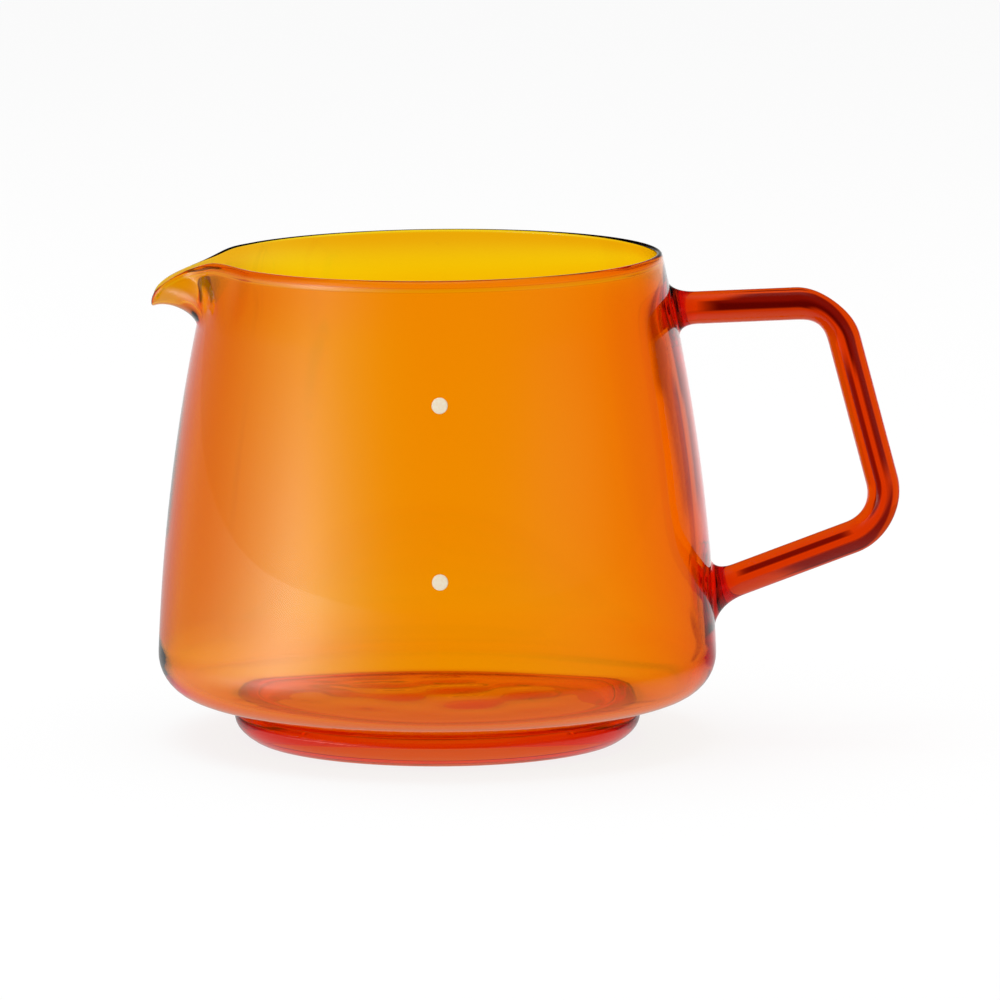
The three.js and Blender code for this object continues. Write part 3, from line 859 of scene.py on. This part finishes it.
def hangSoftbox():
    # tall card at the front left whose glow fades to its edges: one curve across times one up
    aim = math.radians(studioSet["boxAim"])
    toBox = np.array([-math.sin(aim), -math.cos(aim), 0])
    side = np.array([-toBox[1], toBox[0], 0]) * studioSet["boxWide"] / 2
    up = np.array([0, 0, studioSet["boxTall"] / 2])
    middle = toBox * studioSet["boxFar"] + np.array([0, 0, studioSet["boxHeight"]])
    card = plane("softbox", [middle + x * side + y * up for x, y in cardCorners])
    layer = card.data.uv_layers.new(name="face")
    layer.data.foreach_set("uv", np.array([0, 0, 1, 0, 1, 1, 0, 1], dtype=np.float32))
    material, nodes, links = newMaterial("softbox_cloth")
    out, glow = nodes.new("ShaderNodeOutputMaterial"), nodes.new("ShaderNodeEmission")
    spot, parts = nodes.new("ShaderNodeUVMap"), nodes.new("ShaderNodeSeparateXYZ")
    spot.uv_map = "face"
    links.new(spot.outputs["UV"], parts.inputs[0])
    faded = []
    for axis, points in (("X", studioSet["boxAcross"]), ("Y", studioSet["boxUp"])):
        node = nodes.new("ShaderNodeFloatCurve")
        curve = node.mapping.curves[0]
        curve.points[0].location = points[0]
        curve.points[1].location = points[-1]
        for point in points[1:-1]:
            curve.points.new(*point)
        node.mapping.update()
        links.new(parts.outputs[axis], node.inputs["Value"])
        faded.append(node.outputs[0])
    level = combine(nodes, links, "MULTIPLY", *faded)
    links.new(combine(nodes, links, "MULTIPLY", level, studioSet["boxGlow"]), glow.inputs["Strength"])
    links.new(glow.outputs[0], out.inputs["Surface"])
    card.data.materials.append(material)
    card.visible_camera = False
    card.visible_glossy = False
    card.visible_transmission = False


# Painted shade: dark tinted glowing cards behind the carafe, seen only through the glass, that paint the dark
# bands in the handle and the darker left side and top of the back wall; in mm: middle, half width and height,
# soft edges along and across, lean in degrees, colour.
shadeCardSet = dict(
    behind_arm=dict(spot=(70.6, 64, 77), half=(17.6, 15.4), fade=(7, 6),
                    lean=-2.3, shade=(0.13, 0.03, 0.02)),
    left_of_grip=dict(spot=(72.5, 64, 56), half=(13.5, 22), fade=(8, 9),
                      lean=-15.1, shade=(0.26, 0.09, 0.08)),
    right_of_grip=dict(spot=(103.8, 64, 50), half=(10.2, 26), fade=(5.5, 8),
                       lean=-15.1, shade=(0.3, 0.1, 0.09)),
    under_low_arm=dict(spot=(81, 64, 13), half=(15, 11), fade=(5, 5),
                       lean=-20.6, shade=(0.24, 0.08, 0.07)),
    high_back=dict(spot=(0, 66, 106), half=(66, 20), fade=(18, 9),
                   lean=0, shade=(0.84, 0.59, 0.3)),
    left_back=dict(spot=(-76, 66, 75), half=(52, 74.5), fade=(30, 14),
                   lean=0, shade=(0.76, 0.5, 0.53)),
)
flagTurn = 6        # degrees, so that no card shows edge-on from the spout's side


def hangShadeCard(name, flag):
    # card glowing in a dark tint that paints shade seen through the glass, only from the front; its cover is
    # the product of four soft edges
    wide, tall = flag["half"]
    card = plane(name + "_flag", [(x * wide * mm, 0, z * tall * mm) for x, z in cardCorners])
    card.location = [c * mm for c in flag["spot"]]
    card.rotation_euler = (0, math.radians(flag["lean"]), math.radians(flagTurn))
    material, nodes, links = newMaterial(name + "_cloth")
    out, face = nodes.new("ShaderNodeOutputMaterial"), nodes.new("ShaderNodeNewGeometry")
    spot, parts = nodes.new("ShaderNodeTexCoord"), nodes.new("ShaderNodeSeparateXYZ")
    links.new(spot.outputs["Object"], parts.inputs[0])
    cover = combine(nodes, links, "SUBTRACT", 1, face.outputs["Backfacing"])
    for axis, half, fade in zip("XZ", flag["half"], flag["fade"]):
        for edge, inside in ((-half, 1), (half, -1)):
            soft = rangeNode(nodes, (edge * mm, (edge + inside * fade) * mm), "SMOOTHSTEP")
            links.new(parts.outputs[axis], soft.inputs["Value"])
            cover = combine(nodes, links, "MULTIPLY", cover, soft.outputs[0])
    clear, tinted = nodes.new("ShaderNodeBsdfTransparent"), nodes.new("ShaderNodeEmission")
    mix = nodes.new("ShaderNodeMixShader")
    tinted.inputs["Color"].default_value = (*flag["shade"], 1)
    links.new(cover, mix.inputs["Fac"])
    links.new(clear.outputs[0], mix.inputs[1])
    links.new(tinted.outputs[0], mix.inputs[2])
    links.new(mix.outputs[0], out.inputs["Surface"])
    card.data.materials.append(material)
    card.visible_camera = False
    card.visible_diffuse = False
    card.visible_glossy = False
    card.visible_shadow = False


layFloor()
lightRoom()
hangSoftbox()
# hang the painted-shade cards
for name, flag in shadeCardSet.items():
    hangShadeCard(name, flag)

topSet = dict(size=1.1, energy=9, place=(-0.25, 0.1, 1.3), lean=-11)
top = bpy.data.lights.new("top_light", "AREA")
top.shape = "DISK"
top.size = topSet["size"]
top.energy = topSet["energy"]
topLight = bpy.data.objects.new("top_light", top)
topLight.location = topSet["place"]
topLight.rotation_euler = (0, math.radians(topSet["lean"]), 0)
topLight.visible_glossy = False
topLight.visible_transmission = False
scene.collection.objects.link(topLight)

cameraSet = dict(place=(-0.01673, -1.77487, 0.3084), down=8.34, turn=-0.95, lens=318.9, sensor=36, far=100)
camera = bpy.data.objects.new("camera", bpy.data.cameras.new("camera"))
camera.data.lens = cameraSet["lens"]
camera.data.sensor_width = cameraSet["sensor"]
camera.data.clip_end = cameraSet["far"]
camera.location = cameraSet["place"]
camera.rotation_euler = (math.radians(90 - cameraSet["down"]), 0, math.radians(cameraSet["turn"]))
scene.collection.objects.link(camera)
scene.camera = camera
print("stage done")
